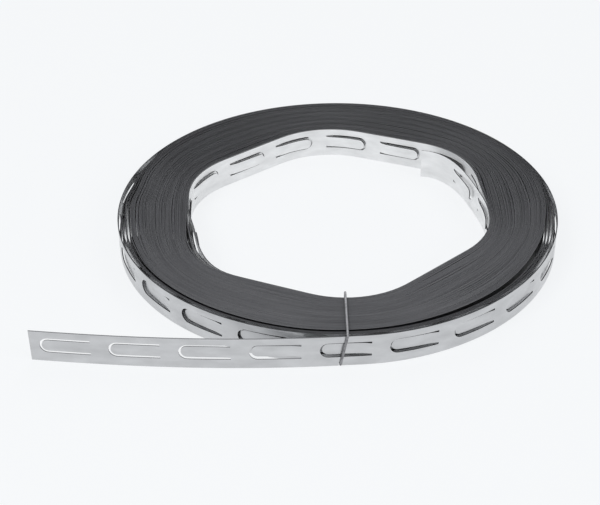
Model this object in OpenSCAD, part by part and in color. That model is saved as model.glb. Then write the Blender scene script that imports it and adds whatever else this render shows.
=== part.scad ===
// Cable fixing band: a roll of punched galvanised steel strip, about 23 m, held shut by a tie wire.
// The roll lies flat on its end. Z is up, z = 0 is the level it rests on, and the origin is on
// the roll's axis. A bearing is an angle seen from above, counter-clockwise from the front (-Y),
// so 90 is +X. Lengths are millimetres.

/* [Strip] */
// Width of the strip, which is the height of the roll
strip_w = 12.9; // [9:0.1:30]
// Thickness of the strip
strip_t = 0.4; // [0.2:0.05:0.45]

/* [Tongues] */
// Distance from one tongue to the next along the strip
tongue_pitch = 25; // [21:0.5:60]
// Length of the U-shaped cut that frees a tongue
slot_len = 18.5; // [10:0.5:20]
// Width across the two legs of the cut
slot_span = 6.2; // [4:0.1:7.5]
// Width of the cut itself
slot_cut = 0.8; // [0.6:0.1:1.5]
// How far the tongue's middle lies above the strip's middle
slot_rise = 0.5; // [-0.5:0.05:0.5]
// How deep the cuts sink into the wound turns
slot_depth = 1; // [0.6:0.1:1.5]
// Plain strip between the outer cut end and its first tongue
end_margin = 3.6; // [2:0.1:10]
// Plain strip between the inner cut end and the last tongue
inner_margin = 20.7; // [10:0.1:22]

/* [Roll] */
// Outer diameter of the roll
coil_d = 177.5; // [170:0.5:230]
// Width of the six-sided bore, from flat to flat
bore_flats = 119; // [100:1:125]
// Corner radius of the bore
bore_round = 34; // [20:1:40]
// Radial distance from one turn to the next
turn_pitch = 0.54; // [0.5:0.02:1.2]
// Depth of the groove that shows between two turns
turn_groove = 0.6; // [0.2:0.1:2]

/* [Sprung outer turns] */
// Number of outer turns that have sprung away from the rest at the front
sprung_turns = 5; // [4:1:12]
// Gap behind the sprung turns
sprung_gap = 1.3; // [0.5:0.1:2.5]
// Bearing, to both sides of the front, where that gap ends
sprung_reach = 75; // [30:1:80]

/* [Free outer end] */
// Length of the free outer end
tail_len = 114.5; // [60:0.5:200]
// Bearing where it leaves the roll
tail_bearing = 1.4; // [-10:0.1:10]
// Angle at which it leaves the roll's surface
tail_kick = 6.7; // [5:0.1:15]
// Angle through which it curls back over its length
tail_curl = 15.4; // [5:0.2:25]

/* [Free inner end] */
// Length of the free inner end
inner_len = 55.5; // [45:0.5:60]
// Place where it leaves the bore's wall, from the middle of the second flat
inner_start = -5.1; // [-8:0.1:0]
// Angle at which it leaves the wall
inner_kick = 9.5; // [8:0.5:14]
// Angle through which it curls inwards at its tip
inner_curl = 76; // [40:1:90]

/* [Tie wire] */
// Diameter of the tie wire
wire_d = 0.9; // [0.5:0.1:1.5]
// Clearance between the wire and the strip
wire_clear = 0.16; // [0.16:0.01:0.3]
// Slant of the wire down the roll's face
wire_slant = 2.5; // [0:0.1:5]
// Distance that the twist stands off the bore's wall
wire_slack = 0.3; // [0.1:0.1:2]
// Length of the twisted wire ends
twist_len = 9; // [4:0.5:15]
// Number of turns in the twist
twist_turns = 2.5; // [1:0.5:4]

/* [Hidden] */

strip_color = [0.72, 0.73, 0.75];
wire_color = [0.45, 0.46, 0.48];

coil_r = coil_d / 2;
slot_mid = strip_w / 2 + slot_rise;

// The winding core was not quite regular: bearing of each flat, and how far it stands out of
// the even six-sided bore.
flat_bearing = [41.5, 91, 158, 218, 273, 336.5];
flat_out = [-0.7, 1, 0.5, -1.8, 0.4, 2.4];
flats = len(flat_bearing);

arc_steps = 6;
path_steps = 28;
overcut = 1;
// How far a cut reaches to both sides of a free end, which is bowed.
bow_reach = 3;
$fn = 96;

function unit(bearing) = [sin(bearing), -cos(bearing)];
function along(bearing) = [cos(bearing), sin(bearing)];
function flat_r(i) = bore_flats / 2 + flat_out[i % flats];
function flat_b(i) = flat_bearing[i % flats] + (i >= flats ? 360 : 0);
function total(list, count) = count == 0 ? 0 : list[count - 1] + total(list, count - 1);

// Centre of the corner arc between flat i and the next one, for a corner radius.
function corner(i) =
    let (a = unit(flat_b(i)), b = unit(flat_b(i + 1)),
         p = flat_r(i) - bore_round, q = flat_r(i + 1) - bore_round,
         det = a.x * b.y - a.y * b.x)
    [(p * b.y - q * a.y) / det, (q * a.x - p * b.x) / det];

function corner_turn(i) = flat_b(i + 1) - flat_b(i);
function bore_outline() = [for (i = [0:flats - 1]) for (j = [0:arc_steps])
    corner(i) + bore_round * unit(flat_b(i) + corner_turn(i) * j / arc_steps)];

// The bore's wall as a route: flat i runs from the corner before it to its own corner.
function flat_start(i) = corner((i + flats - 1) % flats) + bore_round * unit(flat_b(i));
function flat_len(i) = norm(corner(i) + bore_round * unit(flat_b(i)) - flat_start(i));
function arc_len(i) = bore_round * corner_turn(i) * PI / 180;
side_lens = [for (i = [0:flats - 1]) flat_len(i) + arc_len(i)];
bore_len = total(side_lens, flats);
function side_at(s, i = 0) = s < side_lens[i] || i == flats - 1 ? [i, s] : side_at(s - side_lens[i], i + 1);

// Place [point, bearing] on the bore's wall, a distance s along it from the first flat's start.
function wall_place(s) =
    let (side = side_at((s + bore_len) % bore_len), i = side[0], rest = side[1], past = rest - flat_len(i),
         b = flat_b(i) + max(past, 0) / bore_round * 180 / PI)
    past < 0 ? [flat_start(i) + rest * along(flat_b(i)), b]
             : [corner(i) + bore_round * unit(b), b];

// Places [point, bearing] along a free end: the bearing at share t of its length is a function,
// and the points add up from it.
function trace(start, bearings, step, sense) = [for (
    i = 0, p = start; i < len(bearings);
    p = p + sense * step * along(i + 1 < len(bearings) ? (bearings[i] + bearings[i + 1]) / 2 : 0),
    i = i + 1) [p, bearings[i]]];

// The outer end leaves at its kick angle and straightens towards its cut end.
function tail_b(t) = tail_bearing + tail_kick - tail_curl * (1 - pow(1 - t, 2));
tail_bearings = [for (i = [0:path_steps]) tail_b(i / path_steps)];
tail_root = (coil_r - 3 * strip_t) * unit(tail_bearing);
tail_path = trace(tail_root, tail_bearings, tail_len / path_steps, -1);

// The inner end is nearly straight at first and curls ever more towards its cut end.
curl_rate = 5;
inner_flat = 1;
function inner_b(t) = flat_b(inner_flat) + inner_kick
    + inner_curl * (exp(curl_rate * t) - 1) / (exp(curl_rate) - 1);
inner_bearings = [for (i = [0:path_steps]) inner_b(i / path_steps)];
inner_root = (flat_r(inner_flat) + strip_t) * unit(flat_b(inner_flat))
    + inner_start * along(flat_b(inner_flat));
inner_path = trace(inner_root, inner_bearings, inner_len / path_steps, 1);

function ribbon(path) = concat(
    [for (place = path) place[0] + strip_t / 2 * unit(place[1])],
    [for (i = [len(path) - 1:-1:0]) path[i][0] - strip_t / 2 * unit(path[i][1])]);

// Place on a free end, a distance s along it from its root.
function path_place(path, length, s) =
    let (f = s / length * path_steps, i = max(min(floor(f), path_steps - 1), 0), u = f - i)
    [path[i][0] * (1 - u) + path[i + 1][0] * u, path[i][1] * (1 - u) + path[i + 1][1] * u];

// Middle of tongue k, counted along the strip from a cut end. A tongue across the place where
// a free end leaves the roll is cut in both.
function tongue_s(k, margin = end_margin) = margin + k * tongue_pitch + slot_len / 2;
turn_len = 2 * PI * coil_r;
tail_tongues = ceil((tail_len - end_margin) / tongue_pitch);
first_outside = ceil((tail_len - end_margin - slot_len) / tongue_pitch);
last_outside = floor((tail_len + turn_len - end_margin - slot_len) / tongue_pitch);
inner_tongues = ceil((inner_len - inner_margin) / tongue_pitch);
first_in_bore = ceil((inner_len - inner_margin - slot_len) / tongue_pitch);
last_in_bore = first_in_bore + floor(bore_len / tongue_pitch) - 1;
inner_leaves = side_lens[0] + flat_len(inner_flat) / 2 + inner_start;

// The wire's loop: its top run lies at wire_x, and its bottom run is shifted by the slant.
wire_x = 1.2;
wire_x_low = wire_x - wire_slant;
wire_out_y = -(coil_r + wire_clear + wire_d / 2);
wire_top_z = strip_w + wire_clear + wire_d / 2;
wire_low_z = wire_clear + wire_d / 2;
// The tightest bend that the wire's thickness allows.
wire_bend = 0.71 * wire_d;
twist_r = (wire_d + wire_clear) / 2;
twist_x = wire_x + 2 * wire_bend;
twist_z = strip_w / 2;
function bore_front_y(x) = corner(flats - 1).y
    - sqrt(pow(bore_round, 2) - pow(x - corner(flats - 1).x, 2));
wire_in_y = max(bore_front_y(wire_x_low), bore_front_y(twist_x + twist_len))
    + wire_clear + wire_d + wire_slack;

bend_steps = 4;
twist_steps = 8;
wire_sides = 8;
function toward(a, b) = a + wire_bend * (b - a) / norm(b - a);
function bend(a, b, c) = let (p = toward(b, a), q = toward(b, c))
    [for (i = [0:bend_steps]) let (t = i / bend_steps)
        pow(1 - t, 2) * p + 2 * t * (1 - t) * b + t * t * q];
function strand(phase) = let (steps = twist_turns * twist_steps)
    [for (i = [1:steps]) let (turn = phase + 360 * i / twist_steps)
        [twist_x + twist_len * i / steps,
         wire_in_y + twist_r * sin(turn), twist_z + twist_r * cos(turn)]];
function backwards(list) = [for (i = [len(list) - 1:-1:0]) list[i]];

upper_end = [twist_x, wire_in_y, twist_z + twist_r];
lower_end = [twist_x, wire_in_y, twist_z - twist_r];
loop = [upper_end,
    [wire_x, wire_in_y, twist_z + twist_r], [wire_x, wire_in_y, wire_top_z],
    [wire_x, wire_out_y, wire_top_z], [wire_x_low, wire_out_y, wire_low_z],
    [wire_x_low, wire_in_y, wire_low_z], [wire_x_low, wire_in_y, twist_z - twist_r],
    lower_end];
wire_path = concat(backwards(strand(0)), [upper_end],
    [for (i = [1:len(loop) - 2]) each bend(loop[i - 1], loop[i], loop[i + 1])],
    [lower_end], strand(180));

// Rings of a tube: the first normal is carried along the path, square to each direction.
function direction(path, i) = let (d = path[min(i + 1, len(path) - 1)] - path[max(i - 1, 0)]) d / norm(d);
function square_to(v, d) = let (w = v - (v * d) * d) w / norm(w);
function normals(path) = [for (i = 0, n = square_to([0.3, 1, 0.2], direction(path, 0));
    i < len(path);
    i = i + 1, n = i < len(path) ? square_to(n, direction(path, i)) : n) n];
function ring(center, d, n, radius) = let (m = cross(d, n)) [for (k = [0:wire_sides - 1])
    center + radius * (cos(360 * k / wire_sides) * n + sin(360 * k / wire_sides) * m)];

module tube(path, radius) {
    side = normals(path);
    last = (len(path) - 1) * wire_sides;
    points = [for (i = [0:len(path) - 1]) each ring(path[i], direction(path, i), side[i], radius)];
    faces = concat([[for (k = [0:wire_sides - 1]) k]],
        [for (i = [0:len(path) - 2]) for (k = [0:wire_sides - 1])
            let (a = i * wire_sides, next = (k + 1) % wire_sides)
            [a + k, a + wire_sides + k, a + wire_sides + next, a + next]],
        [[for (k = [wire_sides - 1:-1:0]) last + k]]);
    polyhedron(points, faces);
}

// The U-shaped cut, flat, with its tip towards -X and its middle at the origin.
module tongue_outline(half, reach) {
    translate([(slot_span - slot_len) / 2, 0]) {
        circle(r = half);
        translate([0, -half]) square([reach - slot_span / 2, 2 * half]);
    }
}

module tongue_cut(outwards, inwards) {
    translate([0, inwards, slot_mid]) rotate([90, 0, 0])
        linear_extrude(height = outwards + inwards) difference() {
            tongue_outline(slot_span / 2, slot_len);
            tongue_outline(slot_span / 2 - slot_cut, slot_len + overcut);
        }
}

// Stands a child at a place, with -Y turned outwards and +X turned along the strip.
module at(place) {
    translate([place[0].x, place[0].y, 0]) rotate(place[1]) children();
}

// One turned body: each turn is a land on both ends, with a groove between it and the next.
module wound_turns() {
    inner_r = bore_flats / 2 + min(flat_out) - turn_pitch;
    turns = floor((coil_r - inner_r) / turn_pitch);
    gap = turn_pitch - strip_t;
    top = [for (i = [0:turns - 1]) each let (land_r = coil_r - i * turn_pitch, low_r = land_r - strip_t)
        [[land_r, 0], [low_r, 0], [low_r, turn_groove], [low_r - gap, turn_groove]]];
    rotate_extrude() polygon(concat(
        [for (p = top) [p.x, strip_w - p.y]],
        [for (i = [len(top) - 1:-1:0]) top[i]]));
}

// The gap behind the sprung turns, round the front of the roll.
module sprung_gap_cut() {
    gap_r = coil_r - sprung_turns * turn_pitch + (turn_pitch - strip_t) / 2;
    rotate(-90 - sprung_reach) rotate_extrude(angle = 2 * sprung_reach)
        translate([gap_r - sprung_gap, -overcut])
            square([sprung_gap, strip_w + 2 * overcut]);
}

module bore_cut() {
    translate([0, 0, -overcut]) linear_extrude(height = strip_w + 2 * overcut)
        polygon(bore_outline());
}

module free_end(path) {
    linear_extrude(height = strip_w) polygon(ribbon(path));
}

module tongues_on_tail() {
    for (k = [0:tail_tongues - 1])
        at(path_place(tail_path, tail_len, tail_len - tongue_s(k)))
            tongue_cut(bow_reach, bow_reach);
}

module tongues_on_outside() {
    for (k = [first_outside:last_outside]) {
        bearing = tail_bearing + (tongue_s(k) - tail_len) / coil_r * 180 / PI;
        at([coil_r * unit(bearing), bearing]) tongue_cut(overcut, slot_depth);
    }
}

module tongues_in_bore() {
    for (k = [first_in_bore:last_in_bore])
        at(wall_place(inner_leaves + inner_len - tongue_s(k, inner_margin)))
            tongue_cut(slot_depth, 2 * overcut);
}

module tongues_on_inner_end() {
    for (k = [0:inner_tongues - 1])
        at(path_place(inner_path, inner_len, inner_len - tongue_s(k, inner_margin)))
            tongue_cut(bow_reach, bow_reach);
}

// The lowest edges of the turns bed on the wire, so that the roll still lies flat.
module wire_bed() {
    width = wire_d + 2 * wire_clear;
    translate([wire_x_low - width / 2, -coil_r - overcut, -overcut])
        cube([width, coil_r + overcut + wire_in_y + wire_d, width + overcut]);
}

module roll() {
    difference() {
        wound_turns();
        bore_cut();
        tongues_in_bore();
        sprung_gap_cut();
        tongues_on_outside();
    }
}

module tail() {
    difference() {
        free_end(tail_path);
        tongues_on_tail();
    }
}

module inner_end() {
    difference() {
        free_end(inner_path);
        tongues_on_inner_end();
    }
}

module band() {
    color(strip_color) {
        difference() {
            union() {
                roll();
                tail();
            }
            wire_bed();
        }
        inner_end();
    }
}

module tie_wire() {
    color(wire_color) tube(wire_path, wire_d / 2);
}

band();
tie_wire();
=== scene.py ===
# A roll of cable fixing band: punched steel strip as it is really wound, held by one tie wire.
# Bearings are degrees seen from above, counter-clockwise from the front (-Y). Sizes are metres.
import math

import bpy
import numpy as np
from mathutils import Matrix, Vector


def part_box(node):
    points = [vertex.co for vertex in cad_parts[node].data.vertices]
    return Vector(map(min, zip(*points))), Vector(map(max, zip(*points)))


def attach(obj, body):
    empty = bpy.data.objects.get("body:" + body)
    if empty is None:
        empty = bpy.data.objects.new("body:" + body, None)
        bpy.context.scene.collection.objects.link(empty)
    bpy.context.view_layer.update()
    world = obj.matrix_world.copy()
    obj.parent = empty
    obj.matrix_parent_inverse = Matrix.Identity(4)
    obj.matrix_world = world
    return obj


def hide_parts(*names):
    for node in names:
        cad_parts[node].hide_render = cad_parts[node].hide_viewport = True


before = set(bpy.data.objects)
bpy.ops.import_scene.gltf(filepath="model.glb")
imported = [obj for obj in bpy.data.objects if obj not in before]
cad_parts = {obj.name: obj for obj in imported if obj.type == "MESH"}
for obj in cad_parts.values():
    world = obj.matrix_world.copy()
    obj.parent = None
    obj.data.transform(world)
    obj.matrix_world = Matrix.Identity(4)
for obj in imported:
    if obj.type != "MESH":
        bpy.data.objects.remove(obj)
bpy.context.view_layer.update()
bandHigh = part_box("band")[1]
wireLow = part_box("tie_wire")[0]
bpy.ops.object.select_all(action="DESELECT")
mm = 0.001
print("frame loaded:", ", ".join(sorted(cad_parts)))

roll = {
    "radius": bandHigh.x,
    "thickness": 0.4 * mm,
    "turns": 49,
    "samples": 300,                       # points in each turn
    "boreFlats": 119 * mm,                # from flat to flat of the six-sided bore
    "boreRound": 34 * mm,                 # radius of its corners
    "flatBearing": [41.5, 91, 158, 218, 273, 336.5],
    "flatOut": [-0.7, 1, 0.5, -1.8, 0.4, 2.4],   # mm that each flat stands out of the even bore
    "cornerPoints": 20,
    "pointsBetween": 16,                  # from one corner point of the bore to the next
    "unevenness": 0.5,                    # of the gaps between turns
    "fadeTurns": 2,                       # over which the unevenness comes in and goes out
    "sinkStart": 280,                     # where the first turn starts to sink under its own start
    "wirePress": 0.16 * mm,               # how far the tie wire presses the turns in
    "wireReach": 12,                      # degrees, to both sides of it
    "endPoints": 80,                      # in each free end
    "tailStart": 1.4,                     # bearing where the free outer end leaves the roll
    "tailLength": 114.4 * mm,
    "tailKick": 2.8,                      # angle at which it leaves the roll
    "tailCurl": 11.9,                     # angle through which it bends back
    "tailEasing": 1.36,                   # how early in its length it does so
    "innerStart": 82,                     # bearing where the free inner end leaves the bore's wall
    "innerFlat": 1,                       # and which flat that is, counted from 0
    "innerLength": 61.5 * mm,
    "innerKick": 9.5,
    "innerSettled": 0.25,                 # share of its length in which it leaves the wall
    "innerCurl": 76,
    "innerCurlRate": 5,                   # how much of the curl is at the tip
}

# Gap in mm from an outer turn to the next one, by the bearing counted on from the first turn.
sprungTurns = 4
sprungGaps = {
    0: 0.95, 62: 0.95, 78: 1.00, 92: 0.80, 108: 0.30, 180: 0.20, 234: 0.30,
    248: 1.40, 259: 2.10, 269: 1.20, 280: 1.00, 298: 0.90, 330: 0.90,
    360: 0.12, 400: 0.30, 426: 0.70, 440: 0.95, 452: 0.75, 466: 0.10, 540: 0.08,
    612: 0.10, 624: 0.30, 638: 1.10, 650: 0.80, 664: 0.10,
    700: 0.05, 760: 0.30, 785: 0.70, 800: 0.90, 812: 0.40, 826: 0.10, 900: 0.08,
    966: 0.10, 984: 0.80, 1000: 0.95, 1020: 0.95, 1080: 1.15, 1120: 1.90, 1142: 1.75,
    1162: 0.50, 1176: 0.08, 1320: 0.08, 1344: 0.60, 1362: 0.50, 1380: 0.10, 1440: 0.10,
}

# Inner turns that have come loose: turns before the inner end, bearing, half its reach, mm inwards.
looseTurns = [
    (0, 295, 25, 3.3), (1, 297, 20, 1.7), (2, 298, 12, 0.3),
    (0, 109, 24, 1.2), (1, 105, 18, 0.5),
]

# Each wave of looseness along the wound strip: its size, how often in a turn, and its start.
looseWaves = [
    (0.9, 0.137, 1.0), (0.8, 0.389, 2.2), (0.7, 1.453, 0.4),
    (0.6, 2.391, 5.1), (0.5, 3.571, 3.3), (0.4, 0.5, 1.9),
]


def unit(bearing):
    angle = np.radians(bearing)
    return np.stack([np.sin(angle), -np.cos(angle)], axis=-1)


def along(bearing):
    angle = np.radians(bearing)
    return np.stack([np.cos(angle), np.sin(angle)], axis=-1)


def smooth(share):
    share = np.clip(share, 0, 1)
    return share * share * (3 - 2 * share)


def betweenKnots(place, knots):
    places = np.array(sorted(knots), float)
    values = np.array([knots[key] for key in sorted(knots)], float)
    i = np.clip(np.searchsorted(places, place, side="right") - 1, 0, len(places) - 2)
    share = smooth((place - places[i]) / (places[i + 1] - places[i]))
    return values[i] * (1 - share) + values[i + 1] * share


# Bearing and radius of points round the bore.
def boreOutline():
    flats = len(roll["flatBearing"])
    bearings = roll["flatBearing"] + [roll["flatBearing"][0] + 360]
    inset = [roll["boreFlats"] / 2 + out * mm - roll["boreRound"] for out in roll["flatOut"]]
    points = []
    for i in range(flats):
        walls = np.array([unit(bearings[i]), unit(bearings[i + 1])])
        centre = np.linalg.solve(walls, [inset[i], inset[(i + 1) % flats]])
        for turn in np.linspace(bearings[i], bearings[i + 1], roll["cornerPoints"]):
            points.append(centre + roll["boreRound"] * unit(turn))
    points.append(points[0])
    fine = np.concatenate([
        np.linspace(a, b, roll["pointsBetween"])[:-1] for a, b in zip(points, points[1:])])
    bearing = np.degrees(np.arctan2(fine[:, 0], -fine[:, 1])) % 360
    order = np.argsort(bearing)
    return bearing[order], np.hypot(fine[:, 0], fine[:, 1])[order]


# Share of the spare room that each place on the strip takes up against the next turn.
def looseness(turn):
    waves = sum(
        size * np.sin(2 * math.pi * often * turn + start) for size, often, start in looseWaves)
    fade = roll["fadeTurns"]
    comesIn = np.clip((turn - sprungTurns) / fade, 0, 1)
    goesOut = np.clip((roll["turns"] - fade - turn) / fade, 0, 1)
    return np.exp(roll["unevenness"] * waves * comesIn * goesOut)


# Radius of the strip's middle at each point between the two free ends. Along each bearing the
# outer turns take their own gaps, and the rest share what is left down to the bore.
def woundRadius():
    samples, thick = roll["samples"], roll["thickness"]
    leave = int((roll["innerStart"] - roll["tailStart"]) / 360 * samples)
    count = roll["turns"] * samples + leave
    turned = np.arange(count) * 360 / samples
    bearing = turned + roll["tailStart"]
    depth = np.zeros(count)
    step = thick + betweenKnots(bearing, sprungGaps) * mm
    fromWire = np.minimum(turned, 360 - turned)[:samples] / roll["wireReach"]
    sunk = (turned[:samples] - roll["sinkStart"]) / (360 - roll["sinkStart"])
    depth[:samples] = step[0] * smooth(sunk)
    depth[:samples] += roll["wirePress"] * (1 - smooth(fromWire))
    spare = looseness(turned / 360)
    wall = np.interp(bearing % 360, *boreOutline(), period=360)
    for place in range(samples):
        column = np.arange(place, count, samples)
        pack = column[sprungTurns:]
        left = (count - pack[-1]) / samples
        depth[column[1:sprungTurns + 1]] = depth[place] + np.cumsum(step[column[:sprungTurns]])
        room = roll["radius"] - thick - depth[pack[0]] - wall[place]
        shares = spare[pack[:-1]].sum() + left * spare[pack[-1]]
        gap = (room - (len(pack) - 1 + left) * thick) / shares
        depth[pack[1:]] = depth[pack[0]] + np.cumsum(thick + gap * spare[pack[:-1]])
    turnsLeft = (count - 1 - np.arange(count)) // samples
    for turn, middle, reach, offset in looseTurns:
        away = np.abs((bearing - middle + 180) % 360 - 180) / reach
        here = (turnsLeft == turn) & (away < 1)
        depth += here * offset * mm * np.cos(np.clip(away, 0, 1) * math.pi / 2) ** 2
    return bearing, roll["radius"] - thick / 2 - depth


# Points of a free end that sets off from start and heads the way that the bearings say.
def freeEnd(start, bearings, length, sense):
    step = length / (len(bearings) - 1)
    middle = (bearings[1:] + bearings[:-1]) / 2
    travelled = np.cumsum(sense * step * along(middle), axis=0)
    return start + np.concatenate([np.zeros((1, 2)), travelled])


# The whole strip from its outer cut end to its inner one, how far along it each point is, and
# the room that it has there before the next turn inside.
def stripRoute():
    bearing, radius = woundRadius()
    wound = radius[:, None] * unit(bearing)
    share = np.linspace(0, 1, roll["endPoints"])
    bentBack = 1 - (1 - share) ** roll["tailEasing"]
    heading = roll["tailStart"] + roll["tailKick"] - roll["tailCurl"] * bentBack
    tail = freeEnd(wound[0], heading, roll["tailLength"], -1)[::-1]
    leaves = wound[-1] - wound[-2]
    heading = math.degrees(math.atan2(leaves[1], leaves[0]))
    settled = roll["flatBearing"][roll["innerFlat"]] + roll["innerKick"]
    heading = heading + (settled - heading) * smooth(share / roll["innerSettled"])
    rate = roll["innerCurlRate"]
    heading = heading + roll["innerCurl"] * (np.exp(rate * share) - 1) / (math.exp(rate) - 1)
    inner = freeEnd(wound[-1], heading, roll["innerLength"], 1)
    points = np.concatenate([tail[:-1], wound, inner[1:]])
    lengths = np.concatenate([[0], np.cumsum(np.hypot(*np.diff(points, axis=0).T))])
    room = np.full(len(points), roll["radius"])
    start, count = len(tail) - 1, len(radius) - roll["samples"]
    room[start:start + count] = radius[:count] - radius[roll["samples"]:] - roll["thickness"]
    return points, lengths, room


route, routeLengths, routeRoom = stripRoute()
print("route of the strip:", round(routeLengths[-1], 3), "m in", len(route), "points")

strip = {
    "width": bandHigh.z,
    "thickness": roll["thickness"],
    "edgeRound": 0.09 * mm,               # the rolled-over outer edges
    "pitch": 25 * mm,
    "slotLength": 18.5 * mm,
    "slotSpan": 6.2 * mm,
    "slotCut": 0.8 * mm,
    "slotRise": 0.5 * mm,
    "firstTongue": 12.85 * mm,            # from the outer cut end to the first tongue's middle
    "lastTongue": 27.3 * mm,              # from the last tongue's middle to the inner cut end
    "columns": 8,                         # faces along the outer edges of one pitch
    "punchedOutside": 72,                 # tongues cut through from the outer end
    "punchedInside": 50,
    "plainStep": 4 * mm,
    # How far the punch pushed the tongues inwards, in mm, and how often each row of them repeats.
    "tailSet": [0.05, 0.1, 0.3, 0.8],
    "outsideSet": [0.90, 0.95, 0.88, 0.93],
    "outsideRepeats": 6,
    "insideSet": [1.05, 1.15, 1.00, 1.10],
    "insideRepeats": 4,
    "heldSet": 0.05,                      # in the tight turns
    "tongueClear": 0.01 * mm,             # left between a tongue and the turn that holds it flat
    "setCurve": 0.25,                     # how early along its length a tongue gives way
    "tipSteps": 10,                       # faces round the tip of the punch
    "through": 2.4 * mm,                  # how thick a cutter is, to reach right through the strip
    "smoothAngle": 30,
    "samePlace": 1e-6,                    # metres within which two points count as one
    "copyWeld": 2e-6,                     # and as one between two copies of a stretch
    "endWeld": 1e-5,                      # and between two stretches, which rounding moves more
    "nearly": 1e-5,                       # tolerance on where a tongue ends
    "endFacing": 0.99,                    # least cosine to the strip's length of an end face,
    "levelFacing": 0.9,                   # to upright of a level edge,
    "flatFacing": 0.5,                    # and across the strip of its two flat sides
}
bed = {
    "wire": 0.9 * mm,                     # diameter of the tie wire
    "clear": 0.17 * mm,
}
cutEdge, rolledEdge = 1, 2                # material slots, after the zinc face's slot 0


def makeActive(piece):
    bpy.ops.object.select_all(action="DESELECT")
    piece.select_set(True)
    bpy.context.view_layer.objects.active = piece


def selectOnly(piece, faces=(), edges=()):
    makeActive(piece)
    bpy.ops.object.mode_set(mode="EDIT")
    bpy.ops.mesh.select_mode(type="FACE" if len(faces) else "EDGE")
    bpy.ops.mesh.select_all(action="DESELECT")
    bpy.ops.object.mode_set(mode="OBJECT")
    for i in faces:
        piece.data.polygons[i].select = True
    for i in edges:
        piece.data.edges[i].select = True
    bpy.ops.object.mode_set(mode="EDIT")


def applyModifier(piece, kind, **values):
    makeActive(piece)
    bpy.ops.object.modifier_add(type=kind)
    modifier = piece.modifiers[-1]
    for name, value in values.items():
        setattr(modifier, name, value)
    bpy.ops.object.modifier_apply(modifier=modifier.name)


def lengthwiseEdges(piece, length):
    points = piece.data.vertices
    return [e.index for e in piece.data.edges
            if abs(points[e.vertices[0]].co.x - points[e.vertices[1]].co.x) > length / 2]


# A short stretch of flat strip: X along it, -Y its outer face, Z up.
def stripBlock(name, length, columns):
    thick, width = strip["thickness"], strip["width"]
    bpy.ops.mesh.primitive_cube_add(
        size=1, location=(length / 2, 0, width / 2), scale=(length, thick, width))
    piece = bpy.context.object
    piece.name = name
    bpy.ops.object.transform_apply(location=True, rotation=False, scale=True)
    points = piece.data.vertices
    outside = [i for i in lengthwiseEdges(piece, length)
               if points[piece.data.edges[i].vertices[0]].co.y < 0]
    selectOnly(piece, edges=outside)
    bpy.ops.mesh.bevel(offset=strip["edgeRound"], segments=1, affect="EDGES")
    bpy.ops.object.mode_set(mode="OBJECT")
    if columns > 1:
        selectOnly(piece, edges=lengthwiseEdges(piece, length))
        bpy.ops.mesh.subdivide(number_cuts=columns - 1)
        bpy.ops.object.mode_set(mode="OBJECT")
    return piece


# How far along its pitch a tongue's hinge and the middle of its round tip lie, and how high up.
def tonguePlace():
    hinge = (strip["pitch"] + strip["slotLength"]) / 2
    tipCentre = (strip["pitch"] - strip["slotLength"] + strip["slotSpan"]) / 2
    return hinge, tipCentre, strip["width"] / 2 + strip["slotRise"]


# The U-shaped punch: one section drawn along a leg, round the tip and along the other leg.
def tonguePunch():
    cut, span = strip["slotCut"], strip["slotSpan"]
    hinge, tipCentre, middle = tonguePlace()
    bpy.ops.mesh.primitive_plane_add(
        size=1, location=(hinge, 0, middle - (span - cut) / 2), rotation=(0, math.pi / 2, 0))
    punch = bpy.context.object
    punch.name = "punch"
    punch.scale = (cut, strip["through"], 1)
    bpy.ops.object.transform_apply(location=True, rotation=True, scale=True)
    bpy.ops.object.mode_set(mode="EDIT")
    bpy.ops.mesh.select_mode(type="FACE")
    bpy.ops.mesh.select_all(action="SELECT")
    bpy.ops.mesh.extrude_region_move(TRANSFORM_OT_translate={"value": (tipCentre - hinge, 0, 0)})
    bpy.ops.mesh.spin(
        steps=strip["tipSteps"], angle=math.pi, center=(tipCentre, 0, middle), axis=(0, -1, 0))
    bpy.ops.mesh.extrude_region_move(TRANSFORM_OT_translate={"value": (hinge - tipCentre, 0, 0)})
    bpy.ops.mesh.select_all(action="SELECT")
    bpy.ops.mesh.remove_doubles(threshold=strip["samePlace"])
    bpy.ops.mesh.select_all(action="DESELECT")
    bpy.ops.mesh.select_interior_faces()
    bpy.ops.mesh.delete(type="FACE")
    bpy.ops.mesh.select_all(action="SELECT")
    bpy.ops.mesh.normals_make_consistent(inside=False)
    bpy.ops.object.mode_set(mode="OBJECT")
    return punch


# Takes the end faces away, so that stretches join without walls between them.
def openEnds(piece, length):
    start, end = strip["samePlace"], length - strip["samePlace"]
    ends = [f.index for f in piece.data.polygons
            if abs(f.normal.x) > strip["endFacing"] and not start <= f.center.x <= end]
    selectOnly(piece, faces=ends)
    bpy.ops.mesh.delete(type="ONLY_FACE")
    bpy.ops.object.mode_set(mode="OBJECT")


# Keeps where each point lies along and across the strip, for the finishes to follow.
def keepFlatPlace(piece):
    points = np.zeros(len(piece.data.vertices) * 3, np.float32)
    piece.data.vertices.foreach_get("co", points)
    place = piece.data.attributes.new("stripPlace", "FLOAT_VECTOR", "POINT")
    place.data.foreach_set("vector", points)


# Many copies drift apart from their true places by rounding, so the whole is drawn to length.
def repeated(piece, step, count, start):
    applyModifier(
        piece, "ARRAY", use_relative_offset=False, use_constant_offset=True,
        constant_offset_displace=(step, 0, 0), count=count,
        use_merge_vertices=True, merge_threshold=strip["copyWeld"])
    piece.scale.x = step * count / max(point.co.x for point in piece.data.vertices)
    piece.location.x = start
    bpy.ops.object.transform_apply(location=True, rotation=False, scale=True)
    return piece


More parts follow.
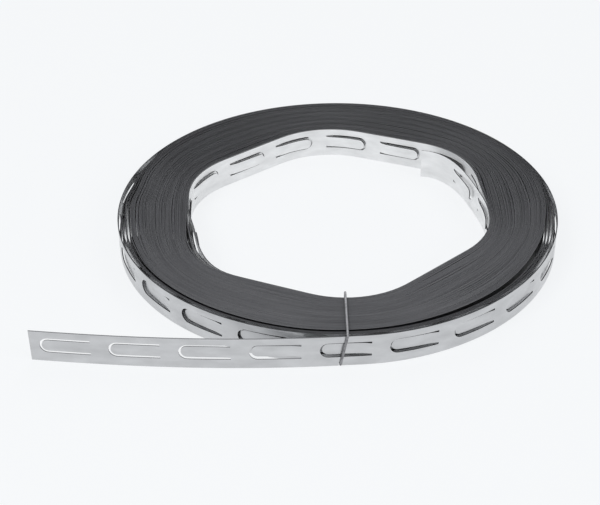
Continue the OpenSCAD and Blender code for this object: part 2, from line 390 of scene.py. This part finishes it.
# Each tongue leans inwards from its hinge to its tip, as far as the next turn lets it.
def setTongues(piece, start, tips):
    points = np.zeros(len(piece.data.vertices) * 3)
    piece.data.vertices.foreach_get("co", points)
    points = points.reshape(-1, 3)
    count = np.floor((points[:, 0] - start) / strip["pitch"]).astype(int)
    x = points[:, 0] - start - count * strip["pitch"]
    hinge, tipCentre, middle = tonguePlace()
    half = strip["slotSpan"] / 2 - strip["slotCut"]
    high = points[:, 2] - middle
    tongue = np.hypot(np.minimum(x - tipCentre, 0), high) < half + strip["nearly"]
    tongue &= (x < hinge - strip["nearly"]) & (count >= 0) & (count < len(tips))
    tip = np.array(tips)[np.clip(count, 0, len(tips) - 1)] * mm
    lean = tip * np.clip((hinge - x) / strip["slotLength"], 0, 1) ** strip["setCurve"]
    room = np.interp(points[:, 0], routeLengths, routeRoom) - strip["tongueClear"]
    points[:, 1] += tongue * np.clip(lean, 0, np.maximum(room, 0))
    piece.data.vertices.foreach_set("co", points.ravel())


def punchedStretch(name, start, tips):
    piece = stripBlock(name, strip["pitch"], strip["columns"])
    punch = tonguePunch()
    applyModifier(piece, "BOOLEAN", object=punch, operation="DIFFERENCE", solver="EXACT")
    bpy.data.objects.remove(punch)
    openEnds(piece, strip["pitch"])
    print(name, "stretch:", len(tips), "tongues")
    return repeated(piece, strip["pitch"], len(tips), start)


def plainStretch(name, start, end):
    count = max(1, round((end - start) / strip["plainStep"]))
    step = (end - start) / count
    piece = stripBlock(name, step, 1)
    openEnds(piece, step)
    return repeated(piece, step, count, start)


# The lowest edges of the turns bed on the tie wire's run under the roll.
def cutWireBed(piece):
    x, y = route[:, 0] - wireLow.x - bed["wire"] / 2, route[:, 1]
    i = np.flatnonzero((x[:-1] * x[1:] <= 0) & (y[:-1] < 0))
    crossings = routeLengths[i] + np.diff(routeLengths)[i] * x[i] / (x[i] - x[i + 1])
    width, height = bed["wire"] + 2 * bed["clear"], wireLow.z + bed["wire"] + bed["clear"]
    bpy.ops.object.select_all(action="DESELECT")
    for number, distance in enumerate(crossings):
        bpy.ops.mesh.primitive_cube_add(
            size=1, location=(distance, 0, 0), scale=(width, strip["through"], 2 * height))
        if number == 0:
            bpy.ops.object.transform_apply(location=True, rotation=False, scale=True)
            bpy.ops.object.mode_set(mode="EDIT")
    bpy.ops.object.mode_set(mode="OBJECT")
    cutter = bpy.context.object
    applyModifier(piece, "BOOLEAN", object=cutter, operation="DIFFERENCE", solver="EXACT")
    bpy.data.objects.remove(cutter)
    print("wire bed cut in", len(crossings), "turns")


# The middle of the roll hides its tongues, so the strip is left plain there.
def flatStrip():
    length = routeLengths[-1]
    lead = strip["firstTongue"] - strip["pitch"] / 2
    outsideEnd = lead + strip["punchedOutside"] * strip["pitch"]
    insideEnd = length - strip["lastTongue"] + strip["pitch"] / 2
    insideStart = insideEnd - strip["punchedInside"] * strip["pitch"]
    outsideTips = strip["tailSet"] + strip["outsideSet"] * strip["outsideRepeats"]
    outsideTips += [strip["heldSet"]] * (strip["punchedOutside"] - len(outsideTips))
    insideTips = strip["insideSet"] * strip["insideRepeats"]
    insideTips = [strip["heldSet"]] * (strip["punchedInside"] - len(insideTips)) + insideTips
    stretches = [
        plainStretch("lead", 0, lead),
        punchedStretch("outside", lead, outsideTips),
        plainStretch("middle", outsideEnd, insideStart),
        punchedStretch("inside", insideStart, insideTips),
        plainStretch("end", insideEnd, length),
    ]
    bpy.ops.object.select_all(action="DESELECT")
    for piece in stretches:
        piece.select_set(True)
    bpy.context.view_layer.objects.active = stretches[0]
    bpy.ops.object.join()
    piece = bpy.context.object
    piece.name = "wound_band"
    selectOnly(piece)
    bpy.ops.mesh.select_non_manifold()
    bpy.ops.mesh.remove_doubles(threshold=strip["endWeld"])
    bpy.ops.mesh.select_all(action="SELECT")
    bpy.ops.mesh.fill_holes(sides=0)
    bpy.ops.object.mode_set(mode="OBJECT")
    cutWireBed(piece)
    keepFlatPlace(piece)
    setTongues(piece, lead, outsideTips)
    setTongues(piece, insideStart, insideTips)
    return piece


# Slit and punched edges are bare steel, the slit ones rolled over on one side. The rest is zinc.
def markFaces(piece):
    for face in piece.data.polygons:
        onEdge = abs(face.center.z - strip["width"] / 2) > strip["width"] / 2 - strip["edgeRound"]
        if onEdge and abs(face.normal.z) < strip["levelFacing"]:
            face.material_index = rolledEdge
        elif abs(face.normal.y) < strip["flatFacing"]:
            face.material_index = cutEdge


def windUp(piece):
    path = bpy.data.curves.new("stripRoute", "CURVE")
    path.dimensions = "3D"
    path.twist_mode = "Z_UP"
    spline = path.splines.new("POLY")
    spline.points.add(len(route) - 1)
    places = np.column_stack([route, np.zeros(len(route)), np.ones(len(route))])
    spline.points.foreach_set("co", places.ravel())
    guide = bpy.data.objects.new("stripRoute", path)
    bpy.context.scene.collection.objects.link(guide)
    applyModifier(piece, "CURVE", object=guide, deform_axis="POS_X")
    bpy.data.objects.remove(guide)
    bpy.ops.object.shade_smooth_by_angle(angle=math.radians(strip["smoothAngle"]))


band = flatStrip()
markFaces(band)
print("flat strip:", len(band.data.vertices), "vertices")
windUp(band)
band.data.calc_loop_triangles()
print("strip wound up:", len(band.data.loop_triangles), "triangles")
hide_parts("band")
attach(band, "root")

# Distances along the strip are metres from its outer end, or before its inner end.
zinc = {
    "color": (0.60, 0.605, 0.615, 1),
    "litInsideColor": (0.80, 0.805, 0.81, 1),     # painted light: inner side of the sprung turns, and the last turns, lighter for the light that these faces catch
    "gapShadeColor": (0.10, 0.10, 0.105, 1),       # painted shade on the turns just inside the sprung ones, down in the gap behind them
    "gapShadeStart": 2.15, "gapShadeEnd": 3.3,
    "lastStart": 0.84, "lastEnd": 0.70,        # between these the last turns take the lighter colour, painted light
    "fade": 0.05,
    "sideFade": 0.1 * mm,                      # where the outer side changes into the inner one
    "cloud": 0.12,
    "cloudScale": (90, 90, 260), "cloudDetail": 4, "cloudRange": (0.3, 0.7),
    "insideMetallic": 0.7,
    "roughness": 0.3,
}
steel = {
    # Bare steel, its cut edges painted darker still for the dark surroundings that they reflect;
    # the rolled edges lighter, a painted reflection off their rounded side.
    "cutDark": (0.022, 0.022, 0.025, 1), "cutLight": (0.048, 0.048, 0.053, 1),
    "rolledDark": (0.10, 0.102, 0.11, 1), "rolledLight": (0.175, 0.178, 0.185, 1),
    "sprungEdgeShade": (0.045, 0.046, 0.05, 1),    # painted shade on the rolled edges of the sprung outer turns
    "freeEndEdgeColor": (0.16, 0.162, 0.17, 1),    # the edges of the free outer end
    "sprungFade": 0.1,
    "freeEndEdgeShare": 0.8,                       # of the free outer end, after which that fades
    "streakScale": (25, 400, 400), "streakDetail": 3, "streakRange": (0.3, 0.7),
    "roughness": 0.6,
    "specular": 0.2,
}
wire = {
    "dark": (0.17, 0.17, 0.18, 1), "light": (0.29, 0.29, 0.30, 1),
    "markScale": (900, 900, 900), "markDetail": 3, "markRange": (0.35, 0.65),
    "metallic": 0.6, "roughness": 0.45, "bump": 0.2, "bumpDepth": 0.02 * mm,
}


def newFinish(name):
    finish = bpy.data.materials.new(name)
    finish.use_nodes = True
    nodes = finish.node_tree.nodes
    return finish, nodes, finish.node_tree.links, nodes["Principled BSDF"]


def rampNode(nodes, links, source, start, end, low=0, high=1):
    ramp = nodes.new("ShaderNodeMapRange")
    ramp.inputs["From Min"].default_value = start
    ramp.inputs["From Max"].default_value = end
    ramp.inputs["To Min"].default_value = low
    ramp.inputs["To Max"].default_value = high
    links.new(source, ramp.inputs["Value"])
    return ramp.outputs["Result"]


def mixNode(nodes, links, share, first, second):
    mix = nodes.new("ShaderNodeMix")
    mix.data_type = "RGBA"
    links.new(share, mix.inputs["Factor"])
    for name, value in (("A", first), ("B", second)):
        if isinstance(value, tuple):
            mix.inputs[name].default_value = value
        else:
            links.new(value, mix.inputs[name])
    return mix.outputs["Result"]


def noiseNode(nodes, links, place, scale, detail):
    stretch = nodes.new("ShaderNodeMapping")
    stretch.inputs["Scale"].default_value = scale
    links.new(place, stretch.inputs["Vector"])
    noise = nodes.new("ShaderNodeTexNoise")
    noise.inputs["Scale"].default_value = 1
    noise.inputs["Detail"].default_value = detail
    links.new(stretch.outputs["Vector"], noise.inputs["Vector"])
    return noise.outputs["Fac"]


def stripPlaceNodes(nodes, links):
    place = nodes.new("ShaderNodeAttribute")
    place.attribute_name = "stripPlace"
    sides = nodes.new("ShaderNodeSeparateXYZ")
    links.new(place.outputs["Vector"], sides.inputs["Vector"])
    return place.outputs["Vector"], sides.outputs["X"], sides.outputs["Y"]


# Zinc, faintly clouded and drawn out along the strip, with painted shade on the turns in the gap
# behind the sprung ones, and painted light on the inner side of the sprung turns and on the last
# turns.
def zincFinish():
    finish, nodes, links, shader = newFinish("zincFace")
    place, distance, across = stripPlaceNodes(nodes, links)
    length = routeLengths[-1]
    # Painted shade: the turns between these distances take a near-black colour for the dark gap
    # behind the sprung turns, then go back to plain zinc.
    gapShade = rampNode(nodes, links, distance, zinc["gapShadeStart"], zinc["gapShadeStart"] + zinc["fade"])
    pastGapShade = rampNode(nodes, links, distance, zinc["gapShadeEnd"], zinc["gapShadeEnd"] + zinc["fade"])
    # Painted light: the inner side of the sprung turns, and both sides of the last turns, take the
    # lighter colour.
    last = rampNode(nodes, links, distance, length - zinc["lastStart"], length - zinc["lastEnd"])
    inside = rampNode(nodes, links, across, -zinc["sideFade"], zinc["sideFade"])
    base = mixNode(nodes, links, inside, zinc["color"], zinc["litInsideColor"])
    base = mixNode(nodes, links, gapShade, base, zinc["gapShadeColor"])
    base = mixNode(nodes, links, pastGapShade, base, zinc["color"])
    base = mixNode(nodes, links, last, base, zinc["litInsideColor"])
    cloud = noiseNode(nodes, links, place, zinc["cloudScale"], zinc["cloudDetail"])
    brightness = rampNode(
        nodes, links, cloud, *zinc["cloudRange"], 1 - zinc["cloud"], 1 + zinc["cloud"] / 2)
    shade = nodes.new("ShaderNodeVectorMath")
    shade.operation = "SCALE"
    links.new(base, shade.inputs["Vector"])
    links.new(brightness, shade.inputs["Scale"])
    links.new(shade.outputs["Vector"], shader.inputs["Base Color"])
    metallic = rampNode(nodes, links, last, 0, 1, 1, zinc["insideMetallic"])
    links.new(metallic, shader.inputs["Metallic"])
    shader.inputs["Roughness"].default_value = zinc["roughness"]
    return finish


# Bare steel, matt and streaked along the strip, painted darker for the dark surroundings that it
# reflects, with painted shade on the rolled edges of the sprung turns, and lighter on the free
# outer end.
def edgeFinish(name, dark, light, sprung):
    finish, nodes, links, shader = newFinish(name)
    place, distance = stripPlaceNodes(nodes, links)[:2]
    noise = noiseNode(nodes, links, place, steel["streakScale"], steel["streakDetail"])
    streak = rampNode(nodes, links, noise, *steel["streakRange"])
    tone = mixNode(nodes, links, streak, dark, light)
    # Painted shade on the rolled edges of the sprung outer turns, up to where the painted gap shade
    # begins.
    sprungEnd = zinc["gapShadeStart"]
    outside = rampNode(nodes, links, distance, sprungEnd, sprungEnd + steel["sprungFade"], 1, 0)
    tone = mixNode(nodes, links, outside, tone, sprung)
    tail = roll["tailLength"]
    freeEndEdge = rampNode(nodes, links, distance, tail * steel["freeEndEdgeShare"], tail, 1, 0)
    tone = mixNode(nodes, links, freeEndEdge, tone, steel["freeEndEdgeColor"])
    links.new(tone, shader.inputs["Base Color"])
    shader.inputs["Roughness"].default_value = steel["roughness"]
    shader.inputs["Specular IOR Level"].default_value = steel["specular"]
    return finish


# Soft iron wire with faint drawing marks.
def wireFinish():
    finish, nodes, links, shader = newFinish("drawnWire")
    place = nodes.new("ShaderNodeTexCoord").outputs["Object"]
    marks = noiseNode(nodes, links, place, wire["markScale"], wire["markDetail"])
    share = rampNode(nodes, links, marks, *wire["markRange"])
    tone = mixNode(nodes, links, share, wire["dark"], wire["light"])
    links.new(tone, shader.inputs["Base Color"])
    bump = nodes.new("ShaderNodeBump")
    bump.inputs["Strength"].default_value = wire["bump"]
    bump.inputs["Distance"].default_value = wire["bumpDepth"]
    links.new(marks, bump.inputs["Height"])
    links.new(bump.outputs["Normal"], shader.inputs["Normal"])
    shader.inputs["Metallic"].default_value = wire["metallic"]
    shader.inputs["Roughness"].default_value = wire["roughness"]
    return finish


band.data.materials.append(zincFinish())
band.data.materials.append(
    edgeFinish("cutSteelEdge", steel["cutDark"], steel["cutLight"], steel["cutDark"]))
band.data.materials.append(
    edgeFinish("rolledEdge", steel["rolledDark"], steel["rolledLight"], steel["sprungEdgeShade"]))
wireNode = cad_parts["tie_wire"]
wireNode.data.materials.clear()
wireNode.data.materials.append(wireFinish())
finishes = [*band.data.materials, *wireNode.data.materials]
print("finishes made:", ", ".join(finish.name for finish in finishes))

studio = {
    "background": (0.925, 0.94, 0.955, 1),
    "floorColor": (0.8, 0.81, 0.82, 1),
    "floorSize": 6,
    "floorDrop": 0.1 * mm,                     # below the level that the roll rests on
    "floorRoughness": 0.9,
    "floorGlow": 0.85,                         # share of the floor's look that is the background
    "ambient": 0.55,
    "lamps": {                                 # place, size, power
        "keyLamp": ((-0.7, -0.7, 1.1), 0.8, 11),
        "fillLamp": ((0.9, -0.6, 0.8), 0.8, 5),
        "backLamp": ((0.1, 1.0, 1.0), 1.0, 4),
    },
}
view = {
    "lens": 78,
    "sensor": 36,
    "distance": 0.5228,
    "elevation": 33.81,
    "roll": -0.69,
    "lookAt": (-0.01519, -0.01623, 0),
}


# 1 on rays that the camera sees straight on or in a reflection.
def seenRays(nodes, links):
    rays = nodes.new("ShaderNodeLightPath")
    seen = nodes.new("ShaderNodeMath")
    seen.operation = "MAXIMUM"
    links.new(rays.outputs["Is Camera Ray"], seen.inputs[0])
    links.new(rays.outputs["Is Glossy Ray"], seen.inputs[1])
    return seen.outputs["Value"]


def layFloor():
    bpy.ops.mesh.primitive_plane_add(
        size=studio["floorSize"], location=(0, 0, -studio["floorDrop"]))
    floor = bpy.context.object
    floor.name = "floor"
    finish, nodes, links, shader = newFinish("paleFloor")
    shader.inputs["Base Color"].default_value = studio["floorColor"]
    shader.inputs["Roughness"].default_value = studio["floorRoughness"]
    glow = nodes.new("ShaderNodeEmission")
    glow.inputs["Color"].default_value = studio["background"]
    mix = nodes.new("ShaderNodeMixShader")
    glowShare = rampNode(nodes, links, seenRays(nodes, links), 0, 1, 0, studio["floorGlow"])
    links.new(glowShare, mix.inputs["Fac"])
    links.new(shader.outputs["BSDF"], mix.inputs[1])
    links.new(glow.outputs["Emission"], mix.inputs[2])
    links.new(mix.outputs["Shader"], nodes["Material Output"].inputs["Surface"])
    floor.data.materials.append(finish)


def lightStudio():
    world = bpy.data.worlds.new("studio")
    bpy.context.scene.world = world
    world.use_nodes = True
    nodes, links = world.node_tree.nodes, world.node_tree.links
    sky = nodes["Background"]
    sky.inputs["Color"].default_value = studio["background"]
    strength = rampNode(nodes, links, seenRays(nodes, links), 0, 1, studio["ambient"], 1)
    links.new(strength, sky.inputs["Strength"])
    for name, (place, size, power) in studio["lamps"].items():
        bpy.ops.object.light_add(type="AREA", location=place)
        lamp = bpy.context.object
        lamp.name = name
        lamp.data.size = size
        lamp.data.energy = power
        lamp.rotation_euler = (-lamp.location).to_track_quat("-Z", "Y").to_euler()


def setCamera():
    tilt = math.radians(view["elevation"])
    x, y, z = view["lookAt"]
    place = (x, y - view["distance"] * math.cos(tilt), z + view["distance"] * math.sin(tilt))
    bpy.ops.object.camera_add(location=place)
    camera = bpy.context.object
    camera.data.lens = view["lens"]
    camera.data.sensor_width = view["sensor"]
    camera.matrix_world = (
        Matrix.Translation(place)
        @ Matrix.Rotation(math.pi / 2 - tilt, 4, "X")
        @ Matrix.Rotation(math.radians(view["roll"]), 4, "Z"))
    bpy.context.scene.camera = camera


layFloor()
lightStudio()
setCamera()
bpy.context.scene.view_settings.view_transform = "Standard"
print("studio set")
